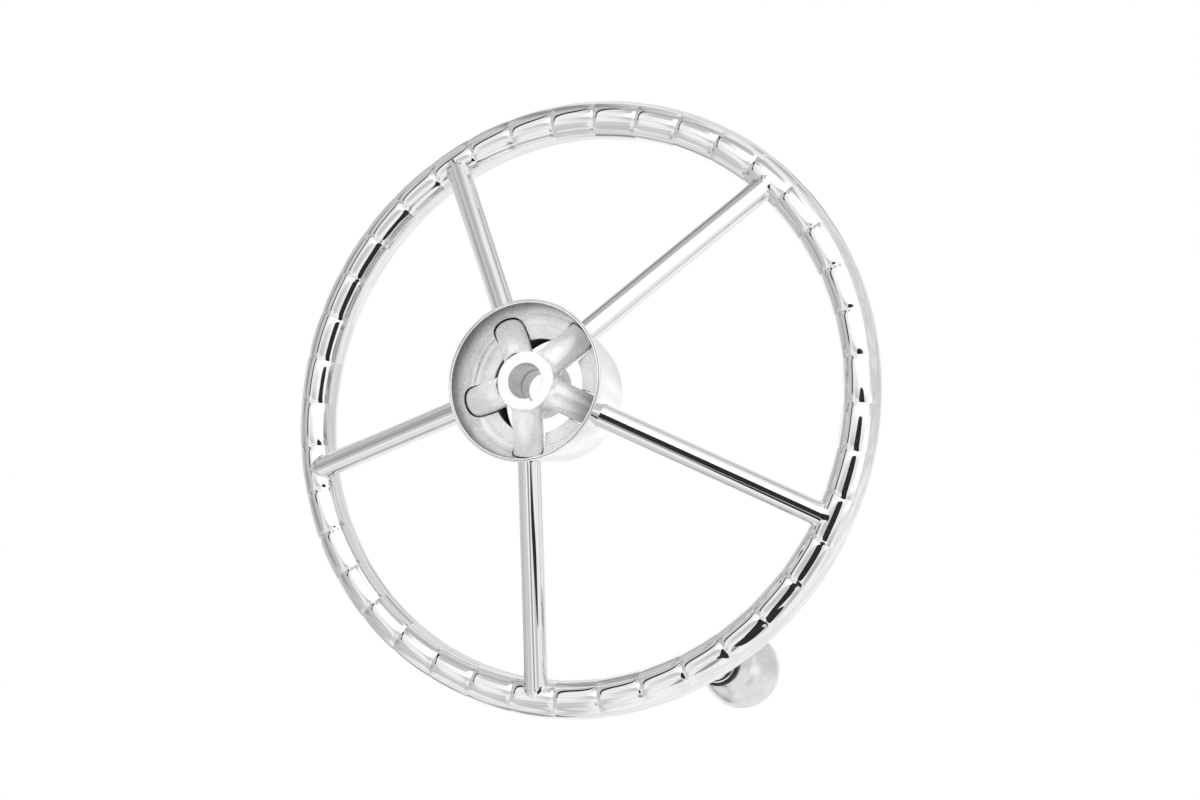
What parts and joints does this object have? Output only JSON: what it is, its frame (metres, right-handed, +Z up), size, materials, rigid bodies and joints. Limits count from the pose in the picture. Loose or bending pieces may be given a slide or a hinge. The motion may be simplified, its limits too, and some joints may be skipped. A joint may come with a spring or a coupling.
{
  "type": "boat steering wheel",
  "caption": "Dished stainless boat steering wheel with tube spokes, finger grips round its rim, a tapered hub and a turning knob.",
  "frame": {"origin": "centre of the hub boss's rear face, at the mouth of the tapered shaft bore", "axes": "+Y along the wheel's axis, forward to the person who steers; +Z up, with one spoke straight down along -Z; +X to the right as seen from behind the wheel"},
  "size_m": [0.343, 0.1487, 0.343],
  "materials": {
    "polished_steel": "mirror-polished stainless steel",
    "satin_steel": "satin, tumbled stainless steel with pickled welds",
    "turned_steel": "fine-turned stainless steel",
    "plastic": "dark acetal"
  },
  "bodies": {
    "wheel": {"rim": "polished_steel", "spoke_bottom": "polished_steel", "spoke_lower_right": "polished_steel", "spoke_upper_right": "polished_steel", "spoke_upper_left": "polished_steel", "spoke_lower_left": "polished_steel", "socket_bottom": "satin_steel", "socket_lower_right": "satin_steel", "socket_upper_right": "satin_steel", "socket_upper_left": "satin_steel", "socket_lower_left": "satin_steel", "hub_boss": "turned_steel", "hub_dish": "satin_steel", "hub_shell": "polished_steel", "knob_ferrule": "polished_steel", "knob_washer": "plastic", "knob_spindle": "turned_steel"},
    "knob": {"knob_body": "polished_steel", "knob_bush": "plastic"}
  },
  "joints": [
    {"name": "knob_spin", "type": "hinge", "parent": "wheel", "child": "knob", "pos_m": [0.09455, 0.126, -0.13013], "axis": [0, 1, 0], "continuous": true}
  ]
}
